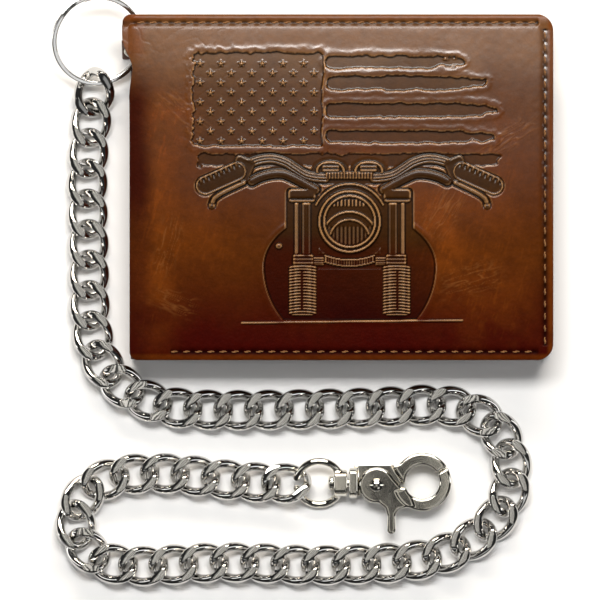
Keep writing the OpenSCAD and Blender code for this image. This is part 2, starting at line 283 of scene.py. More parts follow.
def net(field, low, high, step, settle=3):
    """The surface where field is 0, as quads, moved onto the exact surface."""
    low = np.array(low, float)
    size = np.ceil((np.array(high) - low) / step).astype(int) + 1
    axes = [low[i] + step * np.arange(size[i]) for i in range(3)]
    v = field(*np.meshgrid(*axes, indexing="ij"))
    inside = v < 0
    cells = tuple(size - 1)
    total, hits = np.zeros(cells + (3,)), np.zeros(cells)
    quads = []
    for a in range(3):
        b, c = (a + 1) % 3, (a + 2) % 3
        lo = [slice(None)] * 3
        hi = [slice(None)] * 3
        lo[a], hi[a] = slice(0, -1), slice(1, None)
        v0, v1 = v[tuple(lo)], v[tuple(hi)]
        at = np.argwhere(inside[tuple(lo)] != inside[tuple(hi)])
        at = at[(at[:, b] > 0) & (at[:, c] > 0) & (at[:, b] < size[b] - 1) & (at[:, c] < size[c] - 1)]
        t = v0[tuple(at.T)] / (v0[tuple(at.T)] - v1[tuple(at.T)])
        p = low + at * step
        p[:, a] += t * step
        corner = []
        for db, dc in ((0, 0), (-1, 0), (-1, -1), (0, -1)):
            cell = at.copy()
            cell[:, b] += db
            cell[:, c] += dc
            np.add.at(total, tuple(cell.T), p)
            np.add.at(hits, tuple(cell.T), 1)
            corner.append(np.ravel_multi_index(tuple(cell.T), cells))
        q = np.stack(corner, -1)
        flip = inside[tuple(lo)][tuple(at.T)]
        quads.append(np.where(flip[:, None], q, q[:, ::-1]))
    quads = np.vstack(quads)
    used = np.flatnonzero(hits.ravel())
    remap = np.full(hits.size, -1)
    remap[used] = np.arange(len(used))
    verts = (total.reshape(-1, 3) / np.maximum(hits.ravel(), 1)[:, None])[used]
    e = step * 0.25
    for _ in range(settle):
        f = field(*verts.T)
        g = np.stack([
            field(*(verts + d).T) - field(*(verts - d).T) for d in np.eye(3) * e], -1) / (2 * e)
        g2 = np.maximum((g * g).sum(1), 0.2)
        verts = verts - np.clip(f / g2, -step, step)[:, None] * g
    return verts, [remap[quads]]


def soft_min(a, b, k):
    h = np.clip(0.5 + 0.5 * (b - a) / k, 0, 1)
    return b * (1 - h) + a * h - k * h * (1 - h)


def soft_max(a, b, k):
    return -soft_min(-a, -b, k)


# ---------------------------------------------------------------- materials

class Nodes:
    def __init__(self, name):
        self.material = bpy.data.materials.new(name)
        self.material.use_nodes = True
        self.tree = self.material.node_tree
        self.shader = self.tree.nodes["Principled BSDF"]

    def new(self, kind, **values):
        n = self.tree.nodes.new(kind)
        for k, v in values.items():
            setattr(n, k, v)
        return n

    def link(self, a, b):
        self.tree.links.new(a, b)

    def fill(self, socket, value):
        """Links a socket into this one, or gives it a plain value."""
        if isinstance(value, bpy.types.NodeSocket):
            self.link(value, socket)
        elif isinstance(value, tuple) and len(value) == 3:
            socket.default_value = (*value, 1)
        else:
            socket.default_value = value

    def set(self, **values):
        for k, v in values.items():
            self.fill(self.shader.inputs[k.replace("_", " ")], v)

    def texture(self, kind, scale, settings=None, **inputs):
        n = self.new("ShaderNodeTex" + kind, **settings or {})
        self.link(self.new("ShaderNodeTexCoord").outputs["Object"], n.inputs["Vector"])
        for k, v in dict(inputs, Scale=scale).items():
            n.inputs[k].default_value = v
        return n.outputs["Distance" if kind == "Voronoi" else "Fac"]

    def ramp(self, source, *stops):
        n = self.new("ShaderNodeValToRGB")
        self.link(source, n.inputs["Fac"])
        while len(n.color_ramp.elements) < len(stops):
            n.color_ramp.elements.new(0.5)
        for e, (at, colour) in zip(n.color_ramp.elements, stops):
            e.position = at
            e.color = (*colour, 1) if isinstance(colour, tuple) else (colour, colour, colour, 1)
        return n.outputs["Color"]

    def mix(self, blend, factor, a, b):
        n = self.new("ShaderNodeMix", data_type="RGBA", blend_type=blend)
        for k, value in ((0, factor), (6, a), (7, b)):
            self.fill(n.inputs[k], value)
        return n.outputs[2]

    def math(self, operation, a, b):
        n = self.new("ShaderNodeMath", operation=operation)
        self.fill(n.inputs[0], a)
        self.fill(n.inputs[1], b)
        return n.outputs[0]

    def bump(self, height, distance, strength, below=None):
        n = self.new("ShaderNodeBump")
        n.inputs["Distance"].default_value = distance
        n.inputs["Strength"].default_value = strength
        self.link(height, n.inputs["Height"])
        if below is not None:
            self.link(below, n.inputs["Normal"])
        return n.outputs["Normal"]


def shades(colour, low, high):
    """Two stops of a ramp: the colour times low and times high."""
    return (0.3, tuple(low * c for c in colour)), (0.7, tuple(high * c for c in colour))


def leather(name, base=None, grain=1.0, coat=0.5):
    """Oiled leather: a pebbled grain with pores, cloudy colour and gloss that varies with it.
    Without a base colour, the mesh's tint has the colour, and its alpha how strong the waxed gloss is."""
    m = Nodes(name)
    worn = m.texture("Noise", 110, Detail=6, Roughness=0.65)
    if base is None:
        tint = m.new("ShaderNodeVertexColor", layer_name="tint")
        source, wax = tint.outputs["Color"], tint.outputs["Alpha"]
    else:
        source = m.ramp(m.texture("Noise", 60, Detail=4, Roughness=0.6), *shades(base, 0.72, 1.25))
        wax = m.ramp(worn, (0.3, coat), (0.7, 0.6 * coat))
    cloud = m.texture("Noise", 420, Detail=5, Roughness=0.62)
    cells = m.texture("Voronoi", 1150, Randomness=1)
    pores = m.texture("Noise", 2600, Detail=2)
    colour = m.mix("MULTIPLY", 1.0, source, m.ramp(cloud, (0.25, 0.8), (0.75, 1.16)))
    colour = m.mix("MULTIPLY", 0.3, colour, m.ramp(cells, (0.0, 1.0), (0.75, 0.72)))
    bumps = m.bump(m.ramp(cells, (0.0, 0.0), (0.7, 1.0)), 0.00016, 0.22 * grain)
    bumps = m.bump(pores, 0.00008, 0.25 * grain, bumps)
    bumps = m.bump(cloud, 0.0006, 0.18 * grain, bumps)
    m.set(Base_Color=colour, Roughness=m.ramp(worn, (0.3, 0.4), (0.7, 0.6)), Coat_Weight=wax, Normal=bumps)
    m.set(Specular_IOR_Level=0.02, Coat_Roughness=0.22, Coat_IOR=1.75)
    return m.material


def chrome(name, colour, rough):
    """Bright plating, very slightly smeared and scratched."""
    m = Nodes(name)
    smear = m.texture("Noise", 260, Detail=5, Roughness=0.6)
    scratch = m.texture("Noise", 1600, Detail=3, Distortion=1.5)
    m.set(
        Base_Color=m.mix("MULTIPLY", 1.0, m.ramp(smear, (0.3, 0.96), (0.7, 1.0)), colour),
        Roughness=m.ramp(smear, (0.3, rough * 0.85), (0.75, rough * 1.3)),
        Normal=m.bump(scratch, 0.00003, 0.05), Metallic=1.0)
    return m.material


def thread_material(name, colour):
    m = Nodes(name)
    ply = m.texture("Noise", 2200, Detail=3)
    m.set(Base_Color=m.ramp(ply, *shades(colour, 0.6, 1)), Normal=m.bump(ply, 0.0001, 0.5))
    m.set(Roughness=0.8, Sheen_Weight=0.05, Specular_IOR_Level=0.15)
    return m.material


def cloth_material(name, colour):
    """A twill: fine slanting ribs crossed by a weft."""
    m = Nodes(name)
    rib = m.texture("Wave", 260, {"wave_type": "BANDS", "bands_direction": "DIAGONAL"}, Distortion=0.6)
    weft = m.texture("Wave", 420, {"wave_type": "BANDS", "bands_direction": "X"})
    both = m.math("MULTIPLY", rib, m.math("ADD", weft, 0.6))
    dark, light = shades(colour, 0.55, 1.2)
    m.set(Base_Color=m.ramp(both, (0.1, dark[1]), (0.9, light[1])), Normal=m.bump(both, 0.00012, 0.6))
    m.set(Roughness=0.85, Sheen_Weight=0.3)
    return m.material


def film_material(name):
    m = Nodes(name)
    haze = m.texture("Noise", 90, Detail=4)
    m.set(Base_Color=(0.93, 0.95, 0.96), Alpha=0.32, IOR=1.45)
    m.set(Roughness=m.ramp(haze, (0.3, 0.12), (0.7, 0.3)))
    return m.material


outer = leather("outer_leather")
inner = leather("inner_leather", (0.12, 0.042, 0.018), grain=1.2)
edge_leather = leather("edge_leather", (0.07, 0.022, 0.01), grain=1.4, coat=0.3)
steel = chrome("polished_steel", (0.66, 0.635, 0.57), 0.06)
ring_steel = chrome("ring_steel", (0.82, 0.81, 0.79), 0.16)
link_steel = chrome("chain_steel", (0.64, 0.63, 0.61), 0.05)
cotton = cloth_material("lining_twill", (0.1, 0.062, 0.035))
waxed = thread_material("waxed_thread", (0.27, 0.125, 0.045))
film = film_material("clear_film")


# ---------------------------------------------------------------- the wallet's outline, in millimetres

W, H = 114.4, 93.4
X0, X1, Y0, Y1 = -W / 2, W / 2, -H / 2, H / 2
SEAM = 2.2
FOLD_CORNER, OPEN_CORNER = 2.2, 4.4


def corner(y, low, high, r):
    """How far a rounded corner of radius r moves an edge in, at height y."""
    d = np.clip(r - (y - low), 0, r), np.clip(r - (high - y), 0, r)
    return 2 * r - np.sqrt(r * r - d[0] ** 2) - np.sqrt(r * r - d[1] ** 2)


# How far inside its line the fold's edge lies, as (y, distance): in at a notch, out at the ear above it
EAR = curve([(-60, 0), (15, 0), (24, -0.1), (29, 0.35), (32, 0.75), (34.5, 0.1), (37, -1.1), (39.6, -1.9),
             (43, -2.05), (46, -1.9), (60, -1.9)], 8)


def cover_left(y):
    return X0 + np.interp(y, EAR[:, 0], EAR[:, 1]) + corner(y, Y0, Y1, FOLD_CORNER)


def cover_right(y):
    return X1 - corner(y, Y0, Y1, OPEN_CORNER)


# ---------------------------------------------------------------- the front cover

def press(h, d, level, soft=0.16):
    """Brings the height h to level inside the outline d."""
    m = smooth(soft, -soft, d)
    return h * (1 - m) + level * m


def rod(h, d, r, level, dome=0.4):
    """A half-round bar of radius r along the line that is d away."""
    return press(h, d - r, level + dome * np.sqrt(np.clip(1 - (d / r) ** 2, 0, 1)), 0.09)


def stripes(v, pitch):
    return np.cos(v * 2 * math.pi / pitch)


UPPER_BAR = curve([(6.6, 2.4), (9.3, 2.6), (12, 3.25), (14.7, 4.9), (17.4, 6.6), (20.8, 7.6), (24.2, 7.3),
                   (27.6, 6.1)], 4)
LOWER_BAR = curve([(9.3, -0.75), (12.3, 1), (15.4, 2.6), (18.1, 3.6), (21.2, 3.5), (24.2, 2.7),
                   (26.4, 1.6)], 4)
LEVER = curve([(28.6, 1.2), (32, -0.4), (34.8, -1.8), (36.6, -3.2), (37.2, -4.8)], 4)
SPRING_PITCH = 0.82


# Bundles of fine stretch marks, as (x, y, length, width, angle, seed)
WRINKLES = (
    (-42, 20, 9, 4, -38, 1), (45, 13.5, 8, 3, 32, 2), (27.5, -7, 7, 4, 60, 3), (35, -25, 8, 4, 15, 4),
    (-47, -16, 8, 3, 75, 5), (-45, -31, 6, 3, -20, 6),
)


def wrinkles(x, y):
    """1 on a stretch mark and 0 away from it."""
    total = np.zeros_like(x)
    for cx, cy, length, width, angle, seed in WRINKLES:
        a = math.radians(angle)
        u = (x - cx) * math.cos(a) + (y - cy) * math.sin(a)
        v = (y - cy) * math.cos(a) - (x - cx) * math.sin(a)
        v = v + 0.5 * fbm(x, y, 5, 90 + seed, 2)
        mark = np.clip(1 - np.abs(noise(u / 7, v, 0.5, 95 + seed)) * 4, 0, 1)
        total = np.maximum(total, mark * np.exp(-((u / length) ** 4) - (v / width) ** 4))
    return total


MID = 2.2
AXLE = -21.5
GROUND = -35.9
LAMP_Y = -9.3
BOOT_Y = -27.9
GRIP = ((30.5, 4.2), (39, 0.4))
STAR_STEP, STAR_ROW = 5.6, 2.62
FIRST_STAR = (-38.2, 12.4)
# The torn stripes, as (middle, half width, right end, seed)
STRIPES = ((33.8, 1.7, 34, 1), (28.2, 1.9, 40.5, 2), (20.8, 1.9, 43.5, 3), (13.6, 1.7, 42.5, 4))


def banner(x, y):
    """A panel of stars beside torn stripes: its height, and how dark each point is."""
    torn = fbm(x, y, 2.6, 3, 4)
    h = 0.05 * fbm(x, y, 9, 21)
    frayed = 0.5 * noise(x, y, 0.8, 7) * smooth(-37, -39.5, x)
    frayed += 0.35 * noise(x, y, 1.2, 8) * smooth(34, 36, y)
    panel = rounded_box(x, y, (-22.6, 23.7), (17.5, 12.6), 0.8) + 0.6 * torn + frayed
    h += 0.08 * np.exp(-(((panel - 1.0) / 0.8) ** 2))
    h = press(h, panel, -0.5, 0.24)
    dark = np.maximum(np.zeros_like(x), 0.4 * smooth(0.3, -0.3, panel))
    row = np.round((y - FIRST_STAR[1]) / STAR_ROW)
    shift = STAR_STEP / 2 * np.mod(row, 2)
    column = np.round((x - FIRST_STAR[0] - shift) / STAR_STEP)
    d = star(x - FIRST_STAR[0] - shift - STAR_STEP * column, y - FIRST_STAR[1] - STAR_ROW * row, 1.2)
    inside = (row >= 0) & (row <= 8) & (column >= 0) & (column <= 5) & (panel < -0.5)
    h = np.where(inside, np.maximum(h, -0.5 + 0.7 * smooth(0.1, -0.42, d)), h)
    for middle, half, right, seed in STRIPES:
        ragged = 1.3 * fbm(x * 0.6, y, 2.2, 30 + seed) * smooth(right - 18, right, x)
        taper = half * (1 - 0.75 * smooth(right - 13, right + 2.5, x))
        d = rounded_box(x, y, ((right - 4.2) / 2, middle), ((right + 4.2) / 2, half), 1.5) + half - taper
        d = d + 0.55 * fbm(x, y, 2.1, 40 + seed) + ragged
        h += 0.08 * np.exp(-(((d - 0.9) / 0.8) ** 2))
        h = press(h, d, -0.52, 0.22)
        dark = np.maximum(dark, 0.5 * smooth(0.25, -0.25, d))
    d = rounded_box(x, y, (2, 7.2), (41, 1.7), 1)
    d = d + 0.8 * torn + 0.8 * noise(x, y, 2, 9) * smooth(34, 38, np.abs(x - 2))
    return press(h, d, -0.38, 0.2), np.maximum(dark, 0.75 * smooth(0.25, -0.25, d))


def handlebars(h, s, y, box, upper, lower, lever):
    """The bars with their grips and levers, from the distances to each."""
    h = rod(h, lower, 1.15, -0.34, 0.5)
    h = rod(h, upper, 1.2, -0.34, 0.42)
    h = press(h, np.abs(upper - 0.42) - 0.12, -0.24, 0.12)
    h = press(h, box, -0.14 - 0.12 * smooth(0, -1.5, box), 0.12)
    h = press(h, np.abs(box + 0.4) - 0.1, -0.1, 0.1)
    line = segment(s, y, *GRIP)
    above = smooth(0.4, 1.9, (y - GRIP[0][1]) * 0.913 + (s - GRIP[0][0]) * 0.408)
    ribs = 0.2 * above * stripes(s * 0.913 - y * 0.408, 1.5)
    h = press(h, line - 2.5, -0.2 + ribs + 0.12 * np.sqrt(np.clip(1 - (line / 2.6) ** 2, 0, 1)), 0.12)
    h = press(h, np.abs(line - 2.5 + 0.2) - 0.16, 0.04, 0.1)
    h = rod(h, lever, 0.55, -0.2, 0.4)
    return rod(h, np.hypot(s - 37.2, y + 5.2), 0.95, -0.2, 0.5)


def gauges(h, x, s, y):
    """Two gauges with the ribbed clamp below them."""
    gauge = np.hypot((s - 5.2) / 1.5, y - 4.4) - 2.5
    h = press(h, np.maximum(np.abs(gauge + 0.1) - 0.2, 3.8 - y), 0.16, 0.1)
    h = press(h, rounded_box(s, y, (5.1, 5.5), (2.3, 1.3), 0.6), -0.04 + 0.14 * stripes(y - 5.5, 1.0), 0.1)
    return press(h, rounded_box(s, y, (0, 3.1), (6.4, 0.9), 0.3), 0.02 + 0.13 * stripes(x, 0.8), 0.1)


def fork(h, x, s, y):
    """The fork's legs, the yoke between them and the springs."""
    slot = 0.3 * np.exp(-(((y + 3.2) / 0.35) ** 2))
    h = press(h, rounded_box(s, y, (12.9, -2.3), (3.6, 1.7), 0.9), 0.1 - slot, 0.12)
    end = 40 * smooth(0, 0.5, np.abs(y + 11.5) - 7.1)
    h = rod(h, np.abs(s - 11.7) + end, 1.1, -0.28, 0.5)
    h = rod(h, np.abs(s - 14.4) + end, 0.5, -0.28, 0.4)
    h = press(h, rounded_box(s, y, (9.2, -20), (2.2, 1.1), 0.2), -0.12 + 0.12 * stripes(y, 0.62), 0.1)
    sag = y + 19.6 - 0.028 * (s - 0.2) ** 2 + 0.9
    h = press(h, np.maximum(np.abs(sag) - 0.75, s - 6.6), -0.1 + 0.1 * stripes(x, 0.7), 0.12)
    h = press(h, np.maximum(np.abs(np.abs(sag) - 0.85) - 0.12, s - 6.8), 0.1, 0.08)
    collar = 0.12 * stripes(y + 19.5, 0.95)
    h = press(h, rounded_box(s, y, (12.6, -19.6), (2.7, 1.4), 0.5), 0.08 + collar, 0.12)
    turn = y + 0.03 * (s - 12.7) ** 2
    rings = 0.21 * stripes(turn - BOOT_Y, SPRING_PITCH) - 0.014 * (s - 12.7) ** 2
    h = press(h, rounded_box(s, y, (12.7, BOOT_Y), (3.6, 6.7), 0.7), 0.04 + rings, 0.1)
    return press(h, np.maximum(np.abs(s - 12.9) - 0.3, np.abs(y - BOOT_Y) - 5.6), -0.1, 0.1)


def headlight(h, x, y, lamp):
    """A hood, two rings and a ribbed lens under two brows, from the distance to the lamp's middle."""
    h = press(h, np.maximum(np.abs(lamp - 10.1) - 0.2, -5 - y), 0.1, 0.1)
    h = press(h, lamp - 8.6, -0.2)
    for r, level in ((8.15, 0.16), (6.9, 0.2)):
        h = press(h, np.abs(lamp - r) - 0.26, level, 0.1)
    h = press(h, lamp - 6.5, -0.26 + 0.12 * stripes(x, 1.1) * smooth(-10.2, -11, y), 0.12)
    brow = np.hypot(x - MID, y + 14.2)
    for r, level in ((7.5, 0.1), (5.4, 0.06)):
        h = press(h, np.maximum(np.abs(brow - r) - 0.24, lamp - 6.3), level, 0.1)
    slots = np.abs(np.mod(x + 0.5, 1.0) - 0.5) - 0.2
    return press(h, np.maximum(slots, np.maximum(np.abs(y + 4.3) - 0.9, lamp - 6.2)), 0.06, 0.1)


def relief(x, y):
    """The embossing, a banner over a motorcycle from in front: its height, and how dark each point is.
    The motorcycle is the same on both sides of MID."""
    h, dark = banner(x, y)
    s = np.abs(x - MID)
    low = np.where(y > AXLE, 15.4, 22.6)
    wheel = np.maximum((np.hypot(s / 23.2, (y - AXLE) / low) - 1) * 17, GROUND - y)
    h += 0.14 * np.exp(-(((wheel - 0.8) / 0.6) ** 2))
    h = press(h, wheel, -0.55 + 0.3 * np.clip(1 - (s / 23) ** 2, 0, 1), 0.22)
    dark = np.maximum(dark, 1.15 * smooth(0.3, -0.3, wheel))

    # The recess that the parts stand in
    upper, lower, lever = (polyline(s, y, path) for path in (UPPER_BAR, LOWER_BAR, LEVER))
    box = rounded_box(s * 0.9 + y * 0.42, y * 0.9 - s * 0.42, (28.2, -7.9), (2.7, 3.2), 1)
    lamp = np.hypot(x - MID, y - LAMP_Y)
    around = np.minimum.reduce([
        upper - 1.9, lower - 1.8, box - 0.4, segment(s, y, *GRIP) - 2.5 - 0.3, lever - 1.2,
        np.maximum(np.hypot((s - 5.2) / 1.5, y - 4.6) - 3.4, 3.2 - y),
        rounded_box(s, y, (0, 2.4), (9.4, 1.8), 0.8), rounded_box(s, y, (12.8, -11.5), (4.4, 11.4), 1.4),
        lamp - 10.9, rounded_box(s, y, (0, -20), (12, 2), 0.5),
    ])
    h = press(h, around, -0.46, 0.2)
    dark = np.maximum(dark, 1.1 * smooth(0.2, -0.3, around))
    h = handlebars(h, s, y, box, upper, lower, lever)
    h = gauges(h, x, s, y)
    h = fork(h, x, s, y)
    h = headlight(h, x, y, lamp)
    h = rod(h, segment(x, y, (-26.9, -36.7), (32.6, -36.0)), 0.34, -0.05, 0.36)
    return rod(h, np.hypot(x + 16.9, (y + 15.9) * 1.2), 0.9, -0.3, 0.4), dark


PITCH = 3.3
SEAM_X, SEAM_Y = X1 - SEAM, Y1 - SEAM
# The first stitch of the top, bottom and right row
TOP_START, LOW_START, RIGHT_START = X0 + 3, X0 + 12, -SEAM_Y + 3
SLANT = 8
STITCHES = (
    [(x, SEAM_Y, SLANT) for x in np.arange(TOP_START, SEAM_X - 3, PITCH)]
    + [(x, -SEAM_Y, SLANT) for x in np.arange(LOW_START, SEAM_X - 3, PITCH)]
    + [(SEAM_X, y, 90 + SLANT) for y in np.arange(RIGHT_START, SEAM_Y - 2, PITCH)]
)


def seam_depth(x, y):
    """How deep the seam's groove pulls the leather down, most of all at each stitch's holes."""
    end = 20 * smooth(SEAM_X - 2, SEAM_X + 1, x)
    top = np.abs(y - SEAM_Y) + end
    bottom = np.abs(y + SEAM_Y) + 20 * smooth(-46, -48, x) + end
    right = np.abs(x - SEAM_X) + 20 * smooth(SEAM_Y - 2, SEAM_Y + 1, np.abs(y))
    depth = 0.2 * np.exp(-((np.minimum(np.minimum(top, bottom), right) / 0.95) ** 2))
    for row, along, start in ((top, x, TOP_START), (bottom, x, LOW_START), (right, y, RIGHT_START)):
        depth += 0.13 * np.exp(-((row / 0.6) ** 2)) * (0.5 - 0.5 * stripes(along - start, PITCH)) ** 2
    return depth


LEVEL = 14.42
FOLD_LINE = -57.6


def falloff(distance, reach):
    """1 at an edge, falling away from it."""
    return np.exp(-np.clip(distance, 0, 50) / reach)


def cover_height(x, y):
    """The front cover's upper face, and how dark each point is."""
    u, v = x / X1, y / Y1
    puff = 0.25 * (1 - np.abs(u) ** 3) * (1 - np.abs(v) ** 3)
    puff = puff - 0.95 * smooth(6, 56, y) - 0.3 * smooth(-20, -52, y)
    roll = 0.45 * falloff(y - Y0, 1.1) + 0.4 * falloff(Y1 - y, 1.0)
    roll += 0.45 * falloff(X1 - x, 1.0) + 0.6 * falloff(x - FOLD_LINE, 1.6)
    h, dark = relief(x, y)
    grain = 0.012 * fbm(x, y, 1.3, 51, 2) + 0.035 * fbm(x, y, 14, 52, 2)
    fine = 0.03 * creases(x, y, 3.4, 60) * smooth(0.1, 0.6, fbm(x, y, 18, 61, 2)) - 0.035 * wrinkles(x, y)
    z = LEVEL + puff - roll + h - seam_depth(x, y) + (grain - fine) * (1 - 0.8 * np.clip(dark, 0, 1))
    return np.clip(z, 12.95, 14.9), dark


def blob(x, y, cx, cy, rx, ry):
    return np.exp(-(((x - cx) / rx) ** 2) - ((y - cy) / ry) ** 2)


def blurred(a, n):
    """The mean of a over a square of 2 n + 1 points."""
    for axis in (0, 1):
        ends = np.repeat(a.take([0], axis), n, axis), np.repeat(a.take([-1], axis), n, axis)
        p = np.concatenate([ends[0], a, ends[1]], axis)
        a = sum(p.take(range(k, k + a.shape[axis]), axis) for k in range(2 * n + 1)) / (2 * n + 1)
    return a


def toward(c, colour, m):
    """The colours c mixed with another, by one number m for each."""
    m = m[:, None]
    return c * (1 - m) + colour * m


DEEP_AND_SHADE, RED, ORANGE, BROWN, PALE_AND_SHEEN = np.array([
    (0.041, 0.0014, 0.0002), (0.076, 0.018, 0.0015), (0.16, 0.037, 0.003), (0.088, 0.028, 0.004),
    (0.15, 0.058, 0.014)])
# The worn patches, as (x, y, half width, half height, strength)
WORN = (
    (-50, -12, 5, 24, 0.8), (-46, 16, 8, 9, 0.7), (26, -12, 9, 12, 0.75), (40, -24, 12, 16, 0.45),
    (-36, -14, 10, 10, 0.4), (44, 6, 8, 14, 0.35), (8, 3, 16, 8, 0.5),
)


def cover_tint(x, y, dark, crest):
    """Oiled pull-up leather: brown above, orange-red in the middle and deep red-brown below. The darkening
    towards the bottom is partly painted shade, and the pale top is partly a painted sheen.
    It is paler where it's worn, and over a raised edge (crest above 0), where the paling is partly rubbing
    and partly a painted highlight. It is darker in a crevice (crest below 0): painted shade.
    The fourth number is the gloss."""
    n = fbm(x, y, 16, 70)
    # Darker towards the bottom and paler at the top: partly the leather's colour, partly painted shade below
    # and a painted sheen above
    c = toward(DEEP_AND_SHADE, RED, smooth(-44, -14, y + 7 * n))
    c = toward(c, BROWN, smooth(-4, 36, y + 8 * fbm(x, y, 20, 71)))
    c = toward(c, PALE_AND_SHEEN, smooth(24, 42, y + 8 * fbm(x, y, 9, 75)))
    fold = 0.9 * (smooth(-49, -55, x + 1.5 * n) * smooth(34, 22, y) * (0.5 + 0.5 * smooth(-14, 0, y)))
    ear = smooth(-52, -55, x) * smooth(33, 38, y)
    worn = sum(strength * blob(x, y, *patch) for *patch, strength in WORN)
    scuff = smooth(0.0, 0.75, fbm(x * 0.8 + y * 0.35, y * 0.8, 5, 72, 5) * 0.8 + 0.35)
    patch = np.clip(worn * (0.25 + 0.95 * scuff), 0, 1)
    streak = smooth(0.5, 0.8, np.abs(fbm(x * 1.7 - y * 0.5, y * 0.35 + x * 0.2, 1.7, 73, 3)) * 1.6)
    patch = np.clip(patch + 0.5 * streak * worn, 0, 1)
    rim = np.maximum(smooth(SEAM_Y + 0.2, SEAM_Y + 1.3, np.abs(y)), smooth(SEAM_X + 0.3, SEAM_X + 1.4, x))
    rim *= 0.75 + 0.35 * fbm(x, y, 4, 74)
    c = toward(c, ORANGE, np.clip(patch + 0.62 * np.clip(rim, 0, 1) + 0.5 * ear, 0, 0.9))
    c = toward(c, np.array([0.03, 0.0025, 0.001]), fold)
    hollow = np.clip(dark, 0, 1)
    c = toward(c, np.array([0.3, 0.115, 0.03]), 0.32 * wrinkles(x, y) * (1 - hollow))
    # Darker in the embossed recesses, olive above and red below: partly dye, partly painted shade
    shade = toward(np.array([0.5, 0.6, 0.6]), np.array([0.58, 0.4, 0.3]), smooth(-20, -12, y))
    c = c * (1 - hollow[:, None] * shade)
    # Painted shade: darker in a crevice, where the height lies below its blurred mean
    c = c * (1 - 0.8 * smooth(0.015, 0.13, -crest))[:, None]
    fender = (dark > 0.9) * smooth(-11, -15, y) * smooth(-37, -36, y)
    c = c * (1 - fender[:, None] * np.array([0.1, 0.45, 0.5]) * smooth(22, -16, x)[:, None])
    # Paler cream over a raised edge: partly rubbed leather, partly a painted highlight
    c = toward(c, np.array([0.5, 0.26, 0.1]), 0.65 * smooth(0.05, 0.2, crest))
    # Painted shade: darker by the depth of the seam's groove, most of all at each stitch hole
    groove = np.clip(seam_depth(x, y) * 2.2, 0, 0.7)[:, None]
    high = y + 5 * n
    gloss = 0.42 * smooth(-18, 12, high) * (0.35 + 0.65 * smooth(-56, -16, x)) + 0.6 * smooth(22, 43, high)
    gloss = gloss * (1 - 0.4 * hollow) * (1 - 0.85 * smooth(SEAM_Y - 2.2, SEAM_Y - 0.8, y))
    gloss = (gloss + 0.22 * smooth(0.04, 0.12, crest)) * (1 - fold)
    return np.column_stack([0.94 * c * (1 - groove), np.clip(gloss, 0, 1)])


def build_cover():
    """The front cover, with a row of vertices on every turn of the springs."""
    ys = spaced(Y0 + 0.02, Y1 - 0.02, 0.22, 2.2, 12)
    springs = BOOT_Y + SPRING_PITCH / 4 * np.arange(-34, 35)
    ys = np.sort(np.concatenate([ys[(ys < springs[0]) | (ys > springs[-1])], springs]))
    ys = ys[np.concatenate([[True], np.diff(ys) > 0.02])]
    seen = {}

    def top(x, y):
        z, seen["dark"] = cover_height(x, y)
        seen["crest"] = z - blurred(z, 2)
        return z

    verts, faces, count = slab(cover_left, cover_right, ys, 520, top, lambda x, y: 12.5 + 0 * x, 0.1, ring=7)
    dark, crest = np.zeros(len(verts)), np.zeros(len(verts))
    dark[:count], crest[:count] = seen["dark"].ravel(), seen["crest"].ravel()
    tint = cover_tint(verts[:, 0], verts[:, 1], dark, crest)
    tint[count:2 * count] = (0.09, 0.05, 0.03, 0.1)
    x, y, z = verts[2 * count:].T
    shade = 0.8 + 0.3 * noise(x + y, z, 0.8, 80)
    tint[2 * count:, :3] = np.array([0.09, 0.028, 0.01]) * shade[:, None]
    tint[2 * count:, 3] = 0.4
    add("front_cover", (verts, faces, tint), outer, "front_half", ["front_outer_cover"])


build_cover()


# ---------------------------------------------------------------- the other leather and cloth pieces

def plain_tint(verts, seed, colour=(0.075, 0.018, 0.006)):
    x, y = verts[:, 0] + 0.4 * verts[:, 2], verts[:, 1]
    c = np.array(colour) * (1 + 0.25 * fbm(x, y, 23, seed + 1))[:, None]
    c = toward(c, np.array([0.22, 0.075, 0.02]), 0.5 * smooth(0.15, 0.7, fbm(x, y, 11, seed, 5)))
    return np.column_stack([c, np.full(len(c), 0.45)])


def leaf(node, radii, material, body, step=1.5, wave=0.04, edge=0.14, seed=0,
         left=None, crease=None, crease_below=False, tinted=False):
    """A flat piece of leather or cloth that fills a CAD node's box, with rounded edges.
    radii are its corners' on the left and on the right, and crease(x, y) is how deep a line is pressed
    into the face that shows."""
    (x0, y0, z0), (x1, y1, z1) = [[v / MM for v in c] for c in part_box(node)]
    x0, x1, y0, y1, z0, z1 = x0 + edge, x1 - edge, y0 + edge, y1 - edge, z0 + 0.01, z1 - 0.01
    rl, rr = radii
    ys = spaced(y0, y1, step, max(rl, rr, 0.6))
    if left is not None:
        ys = np.unique(np.concatenate([ys, left[1]]))
    half = (z1 - z0) / 2

    def left_edge(y):
        base = x0 + corner(y, y0, y1, rl)
        return base if left is None else np.maximum(base, left[0](y))

    def lift(x, y):
        return wave * fbm(x, y, 13, seed, 3)

    def top(x, y):
        z = z1 + lift(x, y) + 0.01 * fbm(x, y, 2, seed + 2, 2)
        return z - (crease(x, y) if crease and not crease_below else 0) - min(0.12, half * 0.5) * rim(x, y)

    def bottom(x, y):
        z = z0 + lift(x, y) - 0.01 * fbm(x, y, 2, seed + 3, 2)
        return z + (crease(x, y) if crease and crease_below else 0) + min(0.12, half * 0.5) * rim(x, y)

    def rim(x, y):
        d = np.minimum(np.minimum(x - left_edge(y), x1 - x), np.minimum(y - y0, y1 - y))
        return np.exp(-np.clip(d, 0, 9) / 0.35)

    columns = int((x1 - x0) / step) + 2
    verts, faces, _ = slab(left_edge, lambda y: x1 - corner(y, y0, y1, rr), ys, columns, top, bottom, edge)
    tint = plain_tint(verts, seed + 7) if tinted else None
    return add(node + "_leaf", (verts, faces, tint), material, body, [node])


